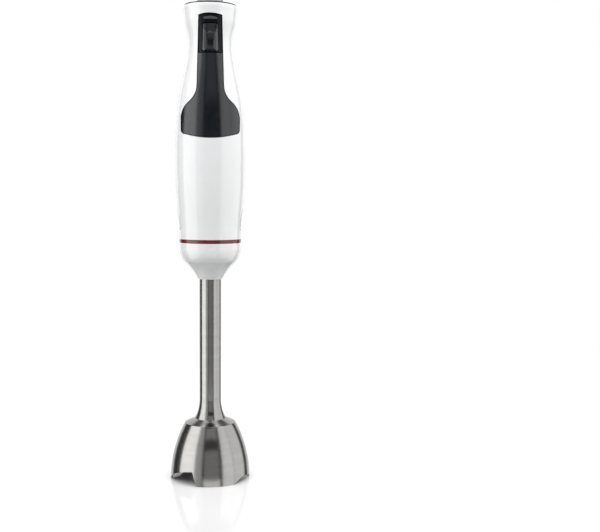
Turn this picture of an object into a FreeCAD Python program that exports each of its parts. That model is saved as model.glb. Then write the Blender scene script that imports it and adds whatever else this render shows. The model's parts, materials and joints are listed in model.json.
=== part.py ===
import FreeCAD, Part

import math
import os
import re

import Sketcher

# Immersion blender: a motor handle standing on its detachable blending foot.
# Millimetres. Origin on the axis at the floor under the bell, +Z up, the grip panel faces -Y.
# Heights named *_height in the foot are above the floor. In the handle every height is above
# the parting plane, where the foot leaves the handle.

Vector = FreeCAD.Vector
Rotation = FreeCAD.Rotation
Placement = FreeCAD.Placement

doc = FreeCAD.newDocument("ImmersionBlender")
sheet = doc.addObject("Spreadsheet::Sheet", "dims")

DIMENSIONS = {
    # bell and shaft tube
    "bell_radius": 32.7,
    "bell_wall": 1.2,
    "shoulder_radius": 20.8,
    "shoulder_height": 46.4,
    "shoulder_rounding": 0.4,
    "cone_radius": 12.8,
    "cone_height": 49.9,
    "flare_radius": 33.0,
    "tube_radius": 8.9,
    "tube_wall": 0.8,
    "window_angle": -52.5,
    "window_span": 65.0,
    "window_rise": 11.4,
    "window_slope": 3.8,
    "arch_angle": 64.0,
    "arch_span": 58.0,
    "arch_rise": 4.7,
    "arch_slope": 8.5,
    # collar of the foot
    "collar_bottom": 165.9,
    "collar_mouth_radius": 10.35,
    "funnel_curve": 40.0,
    "crease_radius": 21.6,
    "crease_height": 180.4,
    "collar_curve": 19.0,
    "collar_curve_top": 192.4,
    "ring_bottom": 195.7,
    "ring_depth": 2.3,
    "foot_top": 198.5,
    "parting_radius": 25.3,
    "plastic_wall": 2.5,
    # latch cup at the top of the foot
    "cup_radius": 14.5,
    "cup_floor_height": 184.0,
    "cup_reach": 13.5,
    "groove_depth": 1.2,
    # blade drive
    "shaft_radius": 2.5,
    "running_clearance": 0.03,
    "bush_radius": 5.0,
    "upper_bush_length": 8.0,
    "lower_bush_length": 12.0,
    "lower_bush_height": 42.0,
    "seal_height": 28.0,
    "seal_length": 5.0,
    "carrier_bottom": 26.0,
    "carrier_radius": 7.4,
    "carrier_depth": 9.0,
    "blade_height": 13.6,
    "blade_radius": 23.5,
    "blade_thickness": 1.3,
    "blade_root": 4.6,
    "blade_tilt": 20.0,
    "blade_hub_radius": 6.0,
    "nut_height": 3.4,
    "nut_flats": 8.0,
    "square_side": 6.2,
    "square_clearance": 0.3,
    "square_length": 7.5,
    "driven_radius": 6.8,
    # outside of the handle
    "parting_gap": 0.3,
    "shell_wall": 2.4,
    "seam_gap": 0.15,
    "barrel_radius": 28.5,
    "barrel_height": 64.5,
    "waist_radius": 17.95,
    "waist_height": 160.0,
    "waist_depth": 1.6,
    "waist_shift": 0.9,
    "crown_radius": 21.6,
    "crown_height": 182.4,
    "top_radius": 21.5,
    "handle_length": 187.5,
    # grip panel and its opening
    "panel_gap": 0.6,
    "panel_half_width": 23.6,
    "panel_bottom": 80.9,
    "panel_bottom_curve": 64.0,
    "panel_corner": 4.0,
    "panel_side_top": 96.7,
    "panel_shoulder": 17.0,
    "neck_half_width": 10.9,
    "neck_bottom": 122.9,
    "panel_top_half_width": 9.5,
    "panel_top": 178.1,
    "panel_top_arch": 1.4,
    "bezel_bottom": 148.6,
    # trigger pocket
    "bezel_recess": 0.9,
    "bezel_depth": 9.5,
    "trigger_half_width": 6.3,
    "trigger_gap": 0.35,
    "trigger_lift": 1.0,
    "trigger_corner": 1.4,
    "trigger_bottom": 149.9,
    "trigger_top": 171.3,
    "trigger_skin": 0.3,
    "trigger_thickness": 4.2,
    "scoop_radius": 4.6,
    "scoop_depth": 1.7,
    "scoop_top": 161.0,
    "pivot_height": 152.4,
    "pivot_depth": 6.0,
    "pin_radius": 1.1,
    "lock_half_width": 5.4,
    "lock_bottom": 174.7,
    "lock_top": 176.8,
    "lock_length": 8.0,
    # release buttons
    "pad_bottom": 5.3,
    "pad_half_width": 9.0,
    "pad_corner": 3.5,
    "pad_straight": 11.5,
    "pad_height": 20.0,
    "pad_gap": 1.5,
    "pad_thickness": 2.0,
    "pad_travel": 2.0,
    "slide_thickness": 2.0,
    "slide_height": 6.0,
    "slide_pitch": 2.6,
    "slide_outer_radius": 19.0,
    "slide_clearance": 0.3,
    "slide_tongue": 6.0,
    "moving_gap": 0.5,
    # inner seats of the housing
    "socket_ring_height": 0.6,
    "socket_ring_length": 4.0,
    "socket_ring_radius": 22.4,
    "guide_height": 11.6,
    "guide_length": 2.0,
    "guide_radius": 22.8,
    # motor
    "rotor_radius": 3.0,
    "bearing_radius": 8.0,
    "bearing_length": 6.0,
    "lower_bearing_height": 20.5,
    "lower_plate_height": 27.0,
    "plate_length": 3.0,
    "lower_plate_radius": 21.4,
    "lower_seat_radius": 23.6,
    "stack_height": 50.0,
    "stack_length": 32.0,
    "stack_radius": 23.4,
    "stack_half_depth": 21.5,
    "air_gap": 0.6,
    "armature_radius": 12.8,
    "pole_half_width": 8.7,
    "coil_radius": 17.2,
    "coil_overhang": 5.0,
    "coil_gap": 0.3,
    "armature_slots": 12.0,
    "winding_radius": 11.5,
    "winding_length": 5.0,
    "commutator_height": 88.5,
    "commutator_length": 7.0,
    "commutator_radius": 7.5,
    "upper_plate_height": 98.0,
    "upper_plate_radius": 21.4,
    "upper_seat_radius": 23.2,
    "post_circle": 19.4,
    "post_radius": 1.7,
    "fan_height": 34.0,
    "fan_length": 7.0,
    "fan_radius": 15.2,
    "fan_blades": 11.0,
    "brush_width": 5.0,
    "brush_length": 7.0,
    "holder_wall": 1.0,
    "holder_reach": 20.4,
    # electronics in the neck
    "board_half_width": 11.0,
    "board_bottom": 118.0,
    "board_top": 178.0,
    "board_depth": 2.0,
    "board_thickness": 1.6,
    "switch_half_width": 5.0,
    "switch_bottom": 161.0,
    "switch_length": 9.0,
    "switch_depth": 5.0,
    "capacitor_radius": 4.5,
    "capacitor_length": 16.0,
    "capacitor_height": 6.0,
    "sink_half_width": 8.0,
    "sink_base": 1.5,
    "sink_height": 28.0,
    "sink_length": 18.0,
    "fin_width": 1.2,
    "fin_pitch": 3.2,
    "fin_depth": 7.0,
    "fin_count": 5.0,
    # top
    "plate_edge": 1.1,
    "plate_dome": 0.8,
    "spigot_length": 4.0,
    "gland_radius": 10.7,
    "gland_length": 9.4,
    "gland_taper": 1.4,
    "gland_rounding": 1.5,
    "gland_neck_radius": 6.5,
    "gland_bore": 3.6,
    "gland_nut_length": 3.5,
    "gland_nut_flats": 18.0,
    "screw_radius": 1.4,
    "screw_head_radius": 2.6,
    "screw_head_length": 2.0,
    "screw_seat": 8.0,
    "screw_length": 15.0,
    "boss_radius": 4.2,
    "housing_screw_height": 122.0,
    "housing_screw_offset": 16.2,
    "vent_width": 16.0,
    "vent_slot": 1.8,
    "vent_pitch": 4.2,
    "vent_height": 33.0,
    "vent_count": 5.0,
}

for row, (alias, number) in enumerate(DIMENSIONS.items(), start=1):
    sheet.set("A%d" % row, alias.replace("_", " "))
    sheet.set("B%d" % row, str(number))
    sheet.setAlias("B%d" % row, alias)
doc.recompute()

ALIASES = re.compile(r"\b(" + "|".join(sorted(DIMENSIONS, key=len, reverse=True)) + r")\b")

# Sizes that several pieces share, as expressions of the sheet's cells.
FLARE_CENTRE = "(tube_radius + flare_radius)"
FLARE_TOP = "(cone_height + sqrt(flare_radius ^ 2 - (%s - cone_radius) ^ 2))" % FLARE_CENTRE
TUBE_BORE = "(tube_radius - tube_wall)"
PARTING = "(foot_top + parting_gap)"
BEYOND = "barrel_radius * 1.5"
HANDLE_SPAN = (PARTING, PARTING + " + handle_length")
CUP_TOP = "(" + PARTING + " + cup_reach)"
SQUARE_TOP = "(foot_top + 2.2 + square_length)"
PANEL_SWING = "(((panel_half_width - neck_half_width) ^ 2 + (neck_bottom - panel_side_top) ^ 2)" \
              " / (2 * (panel_half_width - neck_half_width)))"
GLAND_BASE = "(handle_length + plate_edge + plate_dome)"
FRONT_AT_WAIST = "(waist_radius + waist_depth - waist_shift)"


def cells(text):
    """The text with each cell's alias written as a reference to the sheet."""
    return ALIASES.sub(r"dims.\1", str(text))


def value(text):
    """The number that an expression of the cells has now."""
    return float(sheet.evalExpression(cells(text)))


def bind(thing, name, text):
    """Tie one property to an expression of the cells."""
    thing.setExpression(name, cells(text))


def place(thing, x="0", y="0", z="0"):
    """Tie a piece's position to expressions of the cells."""
    for axis, text in zip("xyz", (x, y, z)):
        if text != "0":
            bind(thing, "Placement.Base." + axis, text)
    return thing


def new_body(label):
    body = doc.addObject("PartDesign::Body", label)
    body.Label = label
    return body


def origin_plane(body, role):
    return next(item for item in body.Origin.OriginFeatures if item.Role == role)


def sketch_in(body, role, name, turn=None, lift=None):
    """A sketch on one of the body's own origin planes, turned or lifted off it."""
    sketch = body.newObject("Sketcher::SketchObject", name)
    sketch.AttachmentSupport = [(origin_plane(body, role), "")]
    sketch.MapMode = "FlatFace"
    if turn:
        axis, text = turn
        sketch.AttachmentOffset = Placement(Vector(), Rotation(axis, value(text)))
        bind(sketch, "AttachmentOffset.Rotation.Angle", text)
    if lift:
        bind(sketch, "AttachmentOffset.Base.z", lift)
    return sketch


def arc_between(start, end, radius, side):
    """An arc from start to end whose centre lies left (+1) or right (-1) of the way."""
    way_x = end[0] - start[0]
    way_y = end[1] - start[1]
    chord = math.hypot(way_x, way_y)
    offset = math.sqrt(radius ** 2 - chord ** 2 / 4) * side / chord
    centre = Vector((start[0] + end[0]) / 2 - way_y * offset, (start[1] + end[1]) / 2 + way_x * offset, 0)
    first = math.atan2(start[1] - centre.y, start[0] - centre.x)
    last = math.atan2(end[1] - centre.y, end[0] - centre.x)
    if side < 0:
        first, last = last, first
    return Part.ArcOfCircle(Part.Circle(centre, Vector(0, 0, 1), radius), first, last)


def fix_point(sketch, edge, end, x_text, y_text):
    """Tie one end of an edge to expressions for its two coordinates."""
    for kind, text, other_axis in (("DistanceX", x_text, -2), ("DistanceY", y_text, -1)):
        number = value(text)
        if abs(number) < 1e-9:
            sketch.addConstraint(Sketcher.Constraint("PointOnObject", edge, end, other_axis))
        else:
            index = sketch.addConstraint(Sketcher.Constraint(kind, -1, 1, edge, end, number))
            bind(sketch, "Constraints[%d]" % index, text)


def draw(sketch, points, arcs=None):
    """A closed outline through the points. arcs maps a point's number to the radius and
    side of the arc that leaves it; every other stretch is straight."""
    arcs = arcs or {}
    numbers = [(value(x), value(y)) for x, y in points]
    edges = []
    for i, start in enumerate(numbers):
        end = numbers[(i + 1) % len(numbers)]
        if i in arcs:
            radius, side = arcs[i]
            edge = sketch.addGeometry(arc_between(start, end, value(radius), side), False)
            edges.append((edge, 1, 2) if side > 0 else (edge, 2, 1))
        else:
            line = Part.LineSegment(Vector(*start, 0), Vector(*end, 0))
            edges.append((sketch.addGeometry(line, False), 1, 2))
    for i, (edge, start, end) in enumerate(edges):
        following, first, _ = edges[(i + 1) % len(edges)]
        sketch.addConstraint(Sketcher.Constraint("Coincident", edge, end, following, first))
        fix_point(sketch, edge, start, *points[i])
        if i in arcs:
            radius = arcs[i][0]
            index = sketch.addConstraint(Sketcher.Constraint("Radius", edge, value(radius)))
            bind(sketch, "Constraints[%d]" % index, radius)


def draw_circle(sketch, radius, x="0", y="0"):
    circle = Part.Circle(Vector(value(x), value(y), 0), Vector(0, 0, 1), value(radius))
    edge = sketch.addGeometry(circle, False)
    fix_point(sketch, edge, 3, x, y)
    index = sketch.addConstraint(Sketcher.Constraint("Radius", edge, value(radius)))
    bind(sketch, "Constraints[%d]" % index, radius)


def revolved(label, points, arcs=None, z="0"):
    """A body turned about Z from an outline of (radius, height) points."""
    body = new_body(label)
    sketch = sketch_in(body, "XZ_Plane", label + "_profile")
    draw(sketch, points, arcs)
    turned = body.newObject("PartDesign::Revolution", label + "_turned")
    turned.Profile = sketch
    turned.ReferenceAxis = (sketch, ["V_Axis"])
    turned.Angle = 360
    body.Tip = turned
    return place(body, z=z)


def ring(label, inner, outer, bottom, top, z="0"):
    """A plain tube, washer or, with no inner radius, a disc."""
    points = [(inner, bottom), (outer, bottom), (outer, top), (inner, top)]
    return revolved(label, points, z=z)


def pad(body, sketch, length, symmetric=False, upward=True):
    feature = body.newObject("PartDesign::Pad", sketch.Name + "_pad")
    feature.Profile = sketch
    bind(feature, "Length", length)
    feature.Midplane = symmetric
    feature.Reversed = not upward
    body.Tip = feature
    return feature


def pocket(body, sketch, length, symmetric=False, along_normal=False):
    """Cut the sketch's outline out of the body, and check that it cuts something."""
    doc.recompute()
    before = body.Shape.Volume
    feature = body.newObject("PartDesign::Pocket", sketch.Name + "_pocket")
    feature.Profile = sketch
    bind(feature, "Length", length)
    feature.Midplane = symmetric
    feature.Reversed = along_normal
    body.Tip = feature
    doc.recompute()
    if body.Shape.Volume > before - 1e-6:
        raise RuntimeError(sketch.Name + " cuts nothing")
    return feature


def polar(body, features, count):
    """Repeat features about the body's Z axis."""
    pattern = body.newObject("PartDesign::PolarPattern", features[0].Name + "_repeat")
    pattern.Originals = features
    pattern.Axis = (origin_plane(body, "Z_Axis"), [""])
    pattern.Angle = 360
    bind(pattern, "Occurrences", count)
    body.Tip = pattern
    doc.recompute()
    return pattern


def prism(label, role, points, length, arcs=None, symmetric=False, turn=None):
    """An outline on an origin plane, padded along the plane's normal."""
    body = new_body(label)
    sketch = sketch_in(body, role, label + "_outline", turn=turn)
    draw(sketch, points, arcs)
    pad(body, sketch, length, symmetric)
    return body


def block(label, x, y, z):
    """A box between two expressions along each axis."""
    box = doc.addObject("Part::Box", label)
    for side, axis, (low, high) in zip(("Length", "Width", "Height"), "xyz", (x, y, z)):
        bind(box, side, "(%s) - (%s)" % (high, low))
        bind(box, "Placement.Base." + axis, low)
    return box


def rod(label, radius, length, x="0", y="0", z="0", axis=None):
    """A cylinder from a point along Z, or along another axis."""
    cylinder = doc.addObject("Part::Cylinder", label)
    bind(cylinder, "Radius", radius)
    bind(cylinder, "Height", length)
    if axis:
        cylinder.Placement = Placement(Vector(), Rotation(Vector(0, 0, 1), axis))
    return place(cylinder, x, y, z)


def cut(label, base, tool):
    feature = doc.addObject("Part::Cut", label)
    feature.Base = base
    feature.Tool = tool
    feature.Refine = False
    return feature


def fuse(label, shapes):
    feature = doc.addObject("Part::MultiFuse", label)
    feature.Shapes = shapes
    return feature


def common(label, shapes):
    """What all the shapes share, taken two at a time."""
    shared = shapes[0]
    for number, shape in enumerate(shapes[1:], start=2):
        feature = doc.addObject("Part::Common", label if number == len(shapes) else "%s_%d" % (label, number))
        feature.Base = shared
        feature.Tool = shape
        feature.Refine = False
        shared = feature
    return shared


def group(label, shapes):
    """Separate solids of one kind that share a node."""
    feature = doc.addObject("Part::Compound", label)
    feature.Links = shapes
    return feature


def hexagon(flats):
    """The corners of a hexagon with the given distance across its flats."""
    corner = "(%s) / 2 / cos(30)" % flats
    return [("%s * cos(%d)" % (corner, angle), "%s * sin(%d)" % (corner, angle))
            for angle in (0, 60, 120, 180, 240, 300)]


def square(side):
    half = "(%s) / 2" % side
    return [("-" + half, "-" + half), (half, "-" + half), (half, half), ("-" + half, half)]


def circular_edges(shape, radius, height):
    """Names of the round edges of one radius at one height."""
    names = []
    for number, edge in enumerate(shape.Edges, start=1):
        box = edge.BoundBox
        is_level = abs(box.ZMin - height) < 1e-3 and abs(box.ZMax - height) < 1e-3
        if is_level and hasattr(edge.Curve, "Radius") and abs(edge.Curve.Radius - radius) < 1e-3:
            names.append("Edge%d" % number)
    return names


def round_edges(body, radius_of_edge, height, size):
    """Round the level circular edge of one radius at one height."""
    doc.recompute()
    base = body.Tip
    feature = body.newObject("PartDesign::Fillet", body.Name + "_rounding")
    feature.Base = (base, circular_edges(base.Shape, value(radius_of_edge), value(height)))
    bind(feature, "Radius", size)
    body.Tip = feature
    doc.recompute()


# ---------------------------------------------------------------- blending foot

def make_bell():
    """Steel bell: a flared skirt under a shallow cone, which a flare joins to the tube. The
    rim has two high windows and two shallow arches, each pair opposite each other."""
    drop = "(bell_radius - shoulder_radius)"
    flank = "((%s ^ 2 + shoulder_height ^ 2) / (2 * %s))" % (drop, drop)
    inner_height = "(shoulder_height - bell_wall)"
    inner_radius = "(bell_radius - %s + sqrt((%s - bell_wall) ^ 2 - %s ^ 2))" % (flank, flank, inner_height)
    share = "((flare_radius + tube_wall) / flare_radius)"
    inner_cone_radius = "(%s - (%s - cone_radius) * %s)" % (FLARE_CENTRE, FLARE_CENTRE, share)
    inner_cone_height = "(%s - (%s - cone_height) * %s)" % (FLARE_TOP, FLARE_TOP, share)
    points = [
        ("bell_radius", "0"),
        ("shoulder_radius", "shoulder_height"),
        ("cone_radius", "cone_height"),
        ("tube_radius", FLARE_TOP),
        (TUBE_BORE, FLARE_TOP),
        (inner_cone_radius, inner_cone_height),
        (inner_radius, inner_height),
        ("bell_radius - bell_wall", "0"),
    ]
    arcs = {
        0: (flank, 1), 2: ("flare_radius", -1), 4: ("flare_radius + tube_wall", 1),
        6: (flank + " - bell_wall", -1),
    }
    body = revolved("bell", points, arcs)
    round_edges(body, "shoulder_radius", "shoulder_height", "shoulder_rounding")

    half_window = "bell_radius * sin(window_span / 2)"
    window = sketch_in(body, "XZ_Plane", "window", turn=(Vector(0, 1, 0), "window_angle"))
    window_points = [
        ("-" + half_window, "-1"),
        (half_window, "-1"),
        (half_window, "0.05"),
        (half_window + " - window_slope", "window_rise"),
        ("-" + half_window, "0.05"),
    ]
    draw(window, window_points, {3: ("bell_radius * 1.9", 1)})
    windows = pocket(body, window, "bell_radius * 1.2", along_normal=True)
    half_arch = "bell_radius * sin(arch_span / 2)"
    arch = sketch_in(body, "XZ_Plane", "arch", turn=(Vector(0, 1, 0), "arch_angle"))
    arch_points = [
        ("-" + half_arch, "-1"),
        (half_arch, "-1"),
        (half_arch, "0.05"),
        ("-(%s - arch_slope)" % half_arch, "arch_rise"),
        ("-" + half_arch, "0.05"),
    ]
    draw(arch, arch_points, {2: ("bell_radius * 1.6", 1)})
    arches = pocket(body, arch, "bell_radius * 1.2", along_normal=True)
    polar(body, [windows, arches], "2")
    return body


def make_shaft_tube():
    return ring("shaft_tube", TUBE_BORE, "tube_radius", FLARE_TOP, "cup_floor_height")


def make_foot_collar():
    """White collar: rounded below the red ring, then a concave funnel down to the tube."""
    wall = "plastic_wall"
    points = [
        ("tube_radius", "collar_bottom"),
        ("collar_mouth_radius", "collar_bottom"),
        ("crease_radius", "crease_height"),
        ("parting_radius - 0.2", "collar_curve_top"),
        ("parting_radius - 0.1", "ring_bottom"),
        ("parting_radius - ring_depth", "ring_bottom"),
        ("parting_radius - ring_depth", "foot_top"),
        ("parting_radius - ring_depth - " + wall, "foot_top"),
        ("parting_radius - ring_depth - " + wall, "ring_bottom - 3.5"),
        ("crease_radius - " + wall, "crease_height + %s * 1.2" % wall),
        ("tube_radius + " + wall, "crease_height - %s" % wall),
        ("tube_radius + " + wall, "cup_floor_height"),
        ("tube_radius", "cup_floor_height"),
    ]
    arcs = {1: ("funnel_curve", -1), 2: ("collar_curve", 1)}
    return revolved("foot_collar", points, arcs)


def make_accent_ring():
    """Red ring with a slightly barrelled face."""
    points = [
        ("parting_radius - ring_depth", "ring_bottom"),
        ("parting_radius - 0.1", "ring_bottom"),
        ("parting_radius - 0.1", "foot_top"),
        ("parting_radius - ring_depth", "foot_top"),
    ]
    return revolved("accent_ring", points, {1: ("(foot_top - ring_bottom) * 4", 1)})


def make_coupling_cup():
    """Cup that plugs into the handle. Its groove takes the latch and its boss the upper bush."""
    wall = "plastic_wall"
    groove_low = PARTING + " + slide_height - 0.5"
    groove_high = PARTING + " + slide_height + slide_pitch + slide_thickness + 0.5"
    boss_low = "cup_floor_height - upper_bush_length"
    points = [
        ("bush_radius", boss_low),
        (TUBE_BORE, boss_low),
        (TUBE_BORE, "cup_floor_height"),
        ("parting_radius - ring_depth - %s * 2" % wall, "cup_floor_height"),
        ("parting_radius - ring_depth - %s * 2" % wall, "ring_bottom"),
        ("parting_radius - ring_depth - " + wall, "ring_bottom"),
        ("parting_radius - ring_depth - " + wall, "foot_top"),
        ("cup_radius", "foot_top"),
        ("cup_radius", groove_low),
        ("cup_radius - groove_depth", groove_low),
        ("cup_radius - groove_depth", groove_high),
        ("cup_radius", groove_high),
        ("cup_radius", CUP_TOP + " - 1"),
        ("cup_radius - 1", CUP_TOP),
        ("cup_radius - " + wall, CUP_TOP),
        ("cup_radius - " + wall, "cup_floor_height + " + wall),
        ("bush_radius", "cup_floor_height + " + wall),
    ]
    return revolved("coupling_cup", points)


def make_bushes():
    bore = "shaft_radius + running_clearance"
    ring("upper_bush", bore, "bush_radius", "cup_floor_height - upper_bush_length",
         "cup_floor_height + plastic_wall")
    ring("lower_bush", bore, "bush_radius", "lower_bush_height", "lower_bush_height + lower_bush_length")


def make_hub_carrier():
    """Column inside the bell that carries the lower bush and the seal."""
    plug_bottom = FLARE_TOP
    points = [
        ("bush_radius", "carrier_bottom"),
        ("carrier_radius - 1.2", "carrier_bottom"),
        ("carrier_radius", "carrier_bottom + 6"),
        ("carrier_radius", plug_bottom),
        (TUBE_BORE, plug_bottom),
        (TUBE_BORE, plug_bottom + " + carrier_depth"),
        ("bush_radius", plug_bottom + " + carrier_depth"),
    ]
    return revolved("hub_carrier", points)


def make_lip_seal():
    """Rubber seal with a lip that points down along the shaft."""
    bore = "shaft_radius + running_clearance"
    points = [
        (bore, "seal_height - 2.5"),
        (bore + " + 0.9", "seal_height - 2.5"),
        (bore + " + 1.2", "seal_height"),
        ("bush_radius", "seal_height"),
        ("bush_radius", "seal_height + seal_length"),
        (bore, "seal_height + seal_length"),
    ]
    return revolved("lip_seal", points)


# ---------------------------------------------------------------- blade and its shaft

def make_drive_shaft():
    points = [
        ("0", "blade_height - nut_height - 0.9"),
        ("shaft_radius - 0.5", "blade_height - nut_height - 0.9"),
        ("shaft_radius", "blade_height - nut_height - 0.4"),
        ("shaft_radius", "foot_top"),
        ("0", "foot_top"),
    ]
    return revolved("drive_shaft", points)


def make_blade():
    """Four-winged blade: two level wings and two that rise towards their tips."""
    body = new_body("blade")
    hub = sketch_in(body, "XY_Plane", "blade_hub")
    draw_circle(hub, "blade_hub_radius")
    pad(body, hub, "blade_thickness")
    wing_points = [
        ("0", "-blade_root"),
        ("blade_radius * 0.72", "-blade_root * 0.85"),
        ("blade_radius * 0.985", "blade_root * 0.35"),
        ("blade_radius * 0.96", "blade_root * 0.75"),
        ("blade_radius * 0.5", "blade_root * 0.62"),
        ("0", "blade_root"),
    ]
    level = sketch_in(body, "XY_Plane", "level_wing")
    draw(level, wing_points, {1: ("blade_radius * 0.5", 1)})
    level_wing = pad(body, level, "blade_thickness")
    polar(body, [level_wing], "2")
    raised = body.newObject("Sketcher::SketchObject", "raised_wing")
    raised.AttachmentSupport = [(origin_plane(body, "YZ_Plane"), "")]
    raised.MapMode = "FlatFace"
    # The raised wing's side view: level under the hub, then tilted up.
    run = "(blade_radius * cos(blade_tilt) - blade_hub_radius)"
    rise = "(%s * tan(blade_tilt))" % run
    side_points = [
        ("0", "0"),
        ("blade_hub_radius", "0"),
        ("blade_radius * cos(blade_tilt)", rise),
        ("blade_radius * cos(blade_tilt) - blade_thickness * sin(blade_tilt)",
         rise + " + blade_thickness * cos(blade_tilt)"),
        ("blade_hub_radius - blade_thickness * tan(blade_tilt / 2)", "blade_thickness"),
        ("0", "blade_thickness"),
    ]
    draw(raised, side_points)
    raised_wing = pad(body, raised, "blade_root * 2", symmetric=True)
    polar(body, [raised_wing], "2")
    bore = sketch_in(body, "XY_Plane", "blade_bore")
    draw_circle(bore, "shaft_radius")
    pocket(body, bore, "blade_thickness * 4", symmetric=True)
    body.Placement = Placement(Vector(), Rotation(Vector(0, 0, 1), 45))
    return place(body, z="blade_height")


def make_blade_nut():
    body = new_body("blade_nut")
    outline = sketch_in(body, "XY_Plane", "blade_nut_outline")
    draw(outline, hexagon("nut_flats"))
    pad(body, outline, "nut_height")
    hole = sketch_in(body, "XY_Plane", "blade_nut_hole")
    draw_circle(hole, "shaft_radius")
    pocket(body, hole, "nut_height * 3", symmetric=True)
    return place(body, z="blade_height - nut_height")


def make_blade_spacer():
    return ring("blade_spacer", "shaft_radius", "carrier_radius - 1.6",
                "blade_height + blade_thickness", "seal_height - 4.5")


def make_driven_coupling():
    """Plastic cup on the shaft's end with a square socket."""
    floor = "cup_floor_height + plastic_wall + 1.5"
    points = [
        ("shaft_radius", floor),
        ("driven_radius - 2.2", floor),
        ("driven_radius - 2.2", floor + " + 6"),
        ("driven_radius", floor + " + 8"),
        ("driven_radius", SQUARE_TOP),
        ("0", SQUARE_TOP),
        ("0", "foot_top"),
        ("shaft_radius", "foot_top"),
    ]
    body = revolved("driven_coupling", points)
    socket = sketch_in(body, "XY_Plane", "driven_socket", lift="foot_top + 0.9")
    draw(socket, square("square_side + square_clearance * 2"))
    pocket(body, socket, "square_length * 2", along_normal=True)
    return body


# ---------------------------------------------------------------- handle: outer form

def between(low, high, share):
    return "(%s + (%s - %s) * %s)" % (low, high, low, share)


# Stretches of the handle, each row a share of the height and of the change in half width
# between the ends of its stretch, and how far the waist's extra depth and shift apply.
PARTING_TO_BARREL = ((0.12, 0.08), (0.24, 0.235), (0.38, 0.485), (0.53, 0.72), (0.7, 0.89), (0.85, 0.97))
BARREL_TO_WAIST = ((0.12, 0.008, 0), (0.23, 0.038, 0.05), (0.3236, 0.08, 0.1), (0.4346, 0.165, 0.3),
                   (0.5445, 0.303, 0.5), (0.6796, 0.55, 0.7), (0.798, 0.787, 0.85), (0.891, 0.943, 0.95))
WAIST_TO_CROWN = ((0.21, 0.17, 0.95), (0.4, 0.436, 0.8), (0.583, 0.73, 0.55), (0.75, 0.885, 0.3))


def handle_sections():
    sections = [("0", "parting_radius", 0)]
    for along, widening in PARTING_TO_BARREL:
        sections.append((between("0", "barrel_height", along),
                         between("parting_radius", "barrel_radius", widening), 0))
    sections.append(("barrel_height", "barrel_radius", 0))
    for along, narrowing, share in BARREL_TO_WAIST:
        sections.append((between("barrel_height", "waist_height", along),
                         between("barrel_radius", "waist_radius", narrowing), share))
    sections.append(("waist_height", "waist_radius", 1))
    for along, widening, share in WAIST_TO_CROWN:
        sections.append((between("waist_height", "crown_height", along),
                         between("waist_radius", "crown_radius", widening), share))
    sections.append(("crown_height", "crown_radius", 0))
    sections.append(("handle_length", "top_radius", 0))
    return sections


def make_form(label, inset, overshoot="0"):
    """The handle's outer form, or one that lies inside it by the inset."""
    ellipses = []
    sections = handle_sections()
    for number, (height, half_width, share) in enumerate(sections):
        ellipse = doc.addObject("Part::Ellipse", "%s_section_%d" % (label, number))
        end = {0: " - (%s)" % overshoot, len(sections) - 1: " + (%s)" % overshoot}.get(number, "")
        bind(ellipse, "MinorRadius", "%s - (%s)" % (half_width, inset))
        bind(ellipse, "MajorRadius", "%s - (%s) + waist_depth * %s" % (half_width, inset, share))
        ellipse.Placement = Placement(Vector(), Rotation(Vector(0, 0, 1), 90))
        place(ellipse, y="waist_shift * %s" % share, z="%s + %s%s" % (PARTING, height, end))
        ellipses.append(ellipse)
    form = doc.addObject("Part::Loft", label)
    form.Sections = ellipses
    form.Solid = True
    form.Ruled = False
    return form


def panel_outline(label, inset, bottom="panel_bottom", top="panel_top"):
    """The bottle-shaped outline of the dark front, padded forward from the axis."""
    side = "(panel_half_width - %s)" % inset
    neck = "(neck_half_width - %s)" % inset
    crown = "(panel_top_half_width - %s)" % inset
    outer_turn = "(panel_shoulder - %s)" % inset
    inner_turn = "(%s - panel_shoulder + %s)" % (PANEL_SWING, inset)
    low_arc = "(panel_bottom_curve - %s)" % inset
    low = "(%s + %s)" % (bottom, inset)
    corner_x = "(%s - panel_corner)" % side
    corner_low = "(%s + %s - sqrt(%s ^ 2 - %s ^ 2))" % (low, low_arc, low_arc, corner_x)
    corner_high = "(%s + panel_corner)" % corner_low
    share = "(%s / %s)" % (outer_turn, PANEL_SWING)
    swing_x = "(panel_half_width - panel_shoulder + (%s - panel_half_width + neck_half_width) * %s)" % (
        PANEL_SWING, share)
    swing_z = "(panel_side_top + (neck_bottom - panel_side_top) * %s)" % share
    high = "(%s - %s)" % (top, inset)
    crown_arc = "((%s ^ 2 + panel_top_arch ^ 2) / (2 * panel_top_arch))" % crown
    right = [
        (corner_x, corner_low),
        (side, corner_high),
        (side, "panel_side_top"),
        (swing_x, swing_z),
        (neck, "neck_bottom"),
        (crown, high),
    ]
    left = [("-" + x, z) for x, z in reversed(right)]
    corner = "panel_corner * 1.02"
    arcs = {
        0: (corner, 1), 2: (outer_turn, 1), 3: (inner_turn, -1), 5: (crown_arc, 1),
        7: (inner_turn, -1), 8: (outer_turn, 1), 10: (corner, 1), 11: (low_arc, 1),
    }
    body = prism(label, "XZ_Plane", right + left, BEYOND, arcs)
    return place(body, z=PARTING)


def pad_outline(label, inset, across):
    """The arched outline of a release button, padded both ways along X."""
    half = "(pad_half_width - %s)" % inset
    low = "(pad_bottom + %s)" % inset
    straight = "(pad_bottom + pad_straight)"
    rise = "(pad_height - pad_straight - %s)" % inset
    curve = "((%s ^ 2 + %s ^ 2) / (2 * %s))" % (half, rise, rise)
    turn = "(pad_corner - %s)" % inset
    points = [
        ("-(%s - %s)" % (half, turn), low),
        ("%s - %s" % (half, turn), low),
        (half, "%s + %s" % (low, turn)),
        (half, straight),
        ("-" + half, straight),
        ("-" + half, "%s + %s" % (low, turn)),
    ]
    arcs = {1: (turn, 1), 3: (curve, 1), 5: (turn, 1)}
    body = prism(label, "YZ_Plane", points, across, arcs, symmetric=True)
    return place(body, z=PARTING)


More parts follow.
